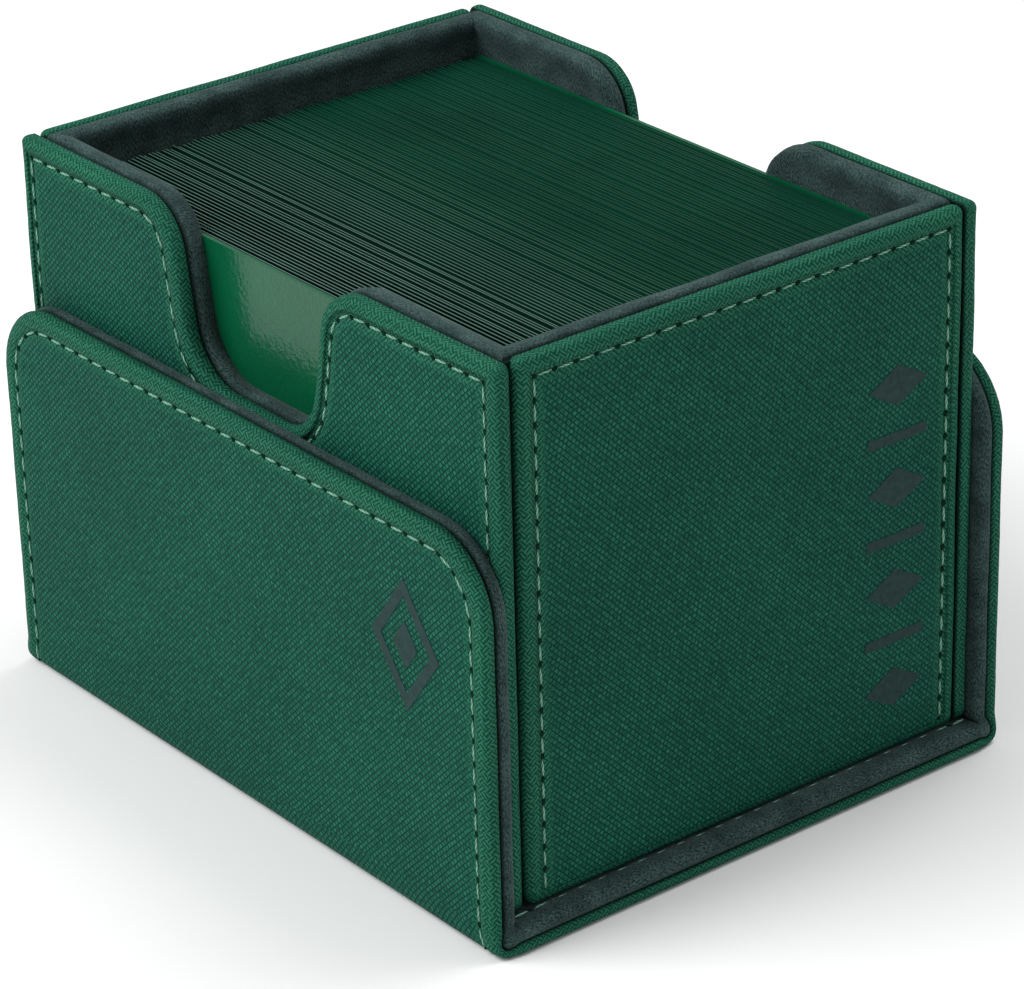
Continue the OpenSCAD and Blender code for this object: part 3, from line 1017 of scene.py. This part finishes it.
def foil(bm, middle, half_wide, half_tall, sides, turned=0.0):
    """One flat ornament with its corners on its axes, or turned so that its sides are level."""
    stand = Matrix.Translation((*middle, 0)) @ Matrix.Diagonal((half_wide, half_tall, 1, 1))
    stand = stand @ Matrix.Rotation(turned, 4, "Z")
    made = bmesh.ops.create_circle(bm, cap_ends=True, segments=sides, radius=1, matrix=stand)
    return made["verts"][0].link_faces[0]


def raised(bm, height):
    """Gives every face of foil its thickness and lays it at height."""
    grown = bmesh.ops.extrude_face_region(bm, geom=list(bm.faces))["geom"]
    tops = [part for part in grown if isinstance(part, bmesh.types.BMVert)]
    bmesh.ops.translate(bm, vec=(0, 0, FOIL_T), verts=tops)
    bmesh.ops.translate(bm, vec=(0, 0, height), verts=bm.verts)


FLAP_MARK = Vector((37.6, 39.0))
FLAP_MARK_HALF = (6.9, 9.4)
FLAP_MARK_CORE = (2.5, 3.4)
FLAP_MARK_LINE = 1.5
bm = bmesh.new()
frame_face = foil(bm, FLAP_MARK, *FLAP_MARK_HALF, 4)
bmesh.ops.inset_region(bm, faces=[frame_face], thickness=FLAP_MARK_LINE, use_even_offset=True,
                       use_boundary=True)
bmesh.ops.delete(bm, geom=[frame_face], context="FACES_ONLY")
foil(bm, FLAP_MARK, *FLAP_MARK_CORE, 4)
raised(bm, FLAP_FACE)
faced(bm, "front", FLAP_SPLIT)
piece("flap_mark", bm, mark_paint, "front_flap")

END_MARK_Y = 26
END_MARK_LOW = 14
END_MARK_STEP = 7.4
END_MARK_COUNT = 7
END_MARK_HALF = 5.2
LOZENGE_HALF = 2.9
BAR_HALF = 0.75
TURNED_REACH = math.sqrt(2)
bm = bmesh.new()
for number in range(END_MARK_COUNT):
    middle = Vector((END_MARK_Y, END_MARK_LOW + number * END_MARK_STEP))
    if number % 2 == 0:
        foil(bm, middle, END_MARK_HALF, LOZENGE_HALF, 4)
    else:
        foil(bm, middle, END_MARK_HALF * TURNED_REACH, BAR_HALF * TURNED_REACH, 4,
             math.radians(45))
raised(bm, WALL_T)
faced(bm, "right", HALF_TRAY - WALL_T)
piece("end_wall_mark", bm, mark_paint, "tray")


# ---- Sleeved cards ---------------------------------------------------------------------------
# A hundred playing cards, each in a green plastic sleeve that is welded flat beyond the card's
# edge. They stand on their long side, and no two stand at quite the same height or place.
CARD_LOW, CARD_HIGH = (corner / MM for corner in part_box("front_card"))
STACK_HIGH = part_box("cards_back")[1] / MM
CARD_COUNT = 100
CARD_T = (CARD_HIGH - CARD_LOW).y
CARD_PITCH = (STACK_HIGH.y - CARD_T - CARD_LOW.y) / (CARD_COUNT - 1)
SEAL_T = 0.2
SEAL_WIDE = 1.7
CARD_SLOPE = 0.9
CARD_DROP = 0.25
CARD_SHIFT = 0.35
CARD_LOOSE = 0.035
FACES = 1
OUTER = 2


def one_sleeve(outermost):
    """The mesh of one sleeved card about its own middle, with thin welds unless it is outermost."""
    bm = bmesh.new()
    made = bmesh.ops.create_cube(bm, size=1)["verts"]
    size = (CARD_HIGH.x - CARD_LOW.x, CARD_T if outermost else SEAL_T, CARD_HIGH.z - CARD_LOW.z)
    bmesh.ops.scale(bm, vec=size, verts=made)
    broad = [face for face in bm.faces if abs(face.normal.y) > 0.9]
    if outermost:
        for face in bm.faces:
            face.material_index = OUTER
        broad = []
    for face in broad:
        face.material_index = FACES
        bmesh.ops.inset_region(bm, faces=[face], thickness=SEAL_WIDE, use_even_offset=True)
        bmesh.ops.inset_region(bm, faces=[face], thickness=CARD_SLOPE, use_even_offset=True,
                               depth=(CARD_T - SEAL_T) / 2)
    mesh = bpy.data.meshes.new("one sleeve")
    bm.to_mesh(mesh)
    bm.free()
    return mesh


# The span over which the sleeves' painted highlight and painted shade fade out towards the back.
FILM_NEAR = -28 * MM
FILM_FAR = 4 * MM


def film(name, near, far, roughness, gloss):
    """Green film that goes from the near to the far colour, front to back, with a rippled gloss.
    The sleeves' edges and faces use this fade for painted highlight and painted shade near the
    front.
    """
    made, shader, tree = material(name, near, roughness)
    places = node(tree, "ShaderNodeTexCoord").outputs["Object"]
    parts = node(tree, "ShaderNodeSeparateXYZ")
    tree.links.new(places, parts.inputs["Vector"])
    depth = node(tree, "ShaderNodeMapRange", From_Min=FILM_NEAR, From_Max=FILM_FAR)
    tree.links.new(parts.outputs["Y"], depth.inputs["Value"])
    blend = ramp(tree, depth.outputs["Result"], near, far)
    cloudy = coarse_noise(tree, places, 60, 3)
    shade = ramp(tree, cloudy.outputs["Fac"], (0.75, 0.78, 0.78), (1.0, 1.0, 1.0), 0.3, 0.7)
    tint = node(tree, "ShaderNodeMix", data_type="RGBA", blend_type="MULTIPLY")
    tint.inputs["Factor"].default_value = 1
    tree.links.new(blend.outputs["Color"], tint.inputs[6])
    tree.links.new(shade.outputs["Color"], tint.inputs[7])
    tree.links.new(tint.outputs[2], shader.inputs["Base Color"])
    ripple = coarse_noise(tree, places, 1300, 2)
    bump = bumped(tree, shader, ripple.outputs["Fac"], 0.15 * MM, 0.5)
    tree.links.new(bump.outputs["Normal"], shader.inputs["Coat Normal"])
    shader.inputs["Specular IOR Level"].default_value = 0.1
    shader.inputs["Coat Weight"].default_value = gloss
    shader.inputs["Coat Roughness"].default_value = 0.08
    return made


FRONT_GREEN = (0.001, 0.098, 0.040)
front_paint = film("front sleeve film", FRONT_GREEN, FRONT_GREEN, 0.35, 0.4)
# Near the front, the sleeves' edges are painted light as highlights, and their faces painted almost
# black as the shade in the gaps between them; both fade to green film towards the back.
edge_highlight_paint = film("sleeve edges", (0.080, 0.165, 0.130), (0.004, 0.050, 0.028), 0.5, 0.0)
face_shade_paint = film("sleeve faces", (0.0005, 0.004, 0.003), (0.004, 0.060, 0.034), 0.5, 0.0)
rng = random.Random(23)
groups = {
    "front_card": (0, 1),
    "cards_front": (1, 34),
    "cards_middle": (34, 67),
    "cards_back": (67, CARD_COUNT),
}
card_middle_z = (CARD_LOW.z + CARD_HIGH.z) / 2
inner_sleeve = one_sleeve(outermost=False)
outer_sleeve = one_sleeve(outermost=True)
for name, (first, last) in groups.items():
    bm = bmesh.new()
    for number in range(first, last):
        template = outer_sleeve if number in (0, CARD_COUNT - 1) else inner_sleeve
        bm.from_mesh(template)
        bm.verts.ensure_lookup_table()
        fresh = bm.verts[-len(template.vertices):]
        tidy = 0 if number == 0 else 1
        spot_y = CARD_LOW.y + number * CARD_PITCH + CARD_T / 2
        move = (tidy * rng.uniform(-CARD_SHIFT, CARD_SHIFT),
                spot_y + tidy * rng.uniform(-CARD_LOOSE, CARD_LOOSE),
                card_middle_z - tidy * rng.uniform(0, CARD_DROP))
        for vertex in fresh:
            vertex.co += Vector(move)
    finish = "card_sleeve" if name == "front_card" else "card_edges"
    made = piece(f"{name}_sleeves", bm, [edge_highlight_paint, face_shade_paint, front_paint], "deck")
    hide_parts(name)
bpy.data.meshes.remove(inner_sleeve)
bpy.data.meshes.remove(outer_sleeve)
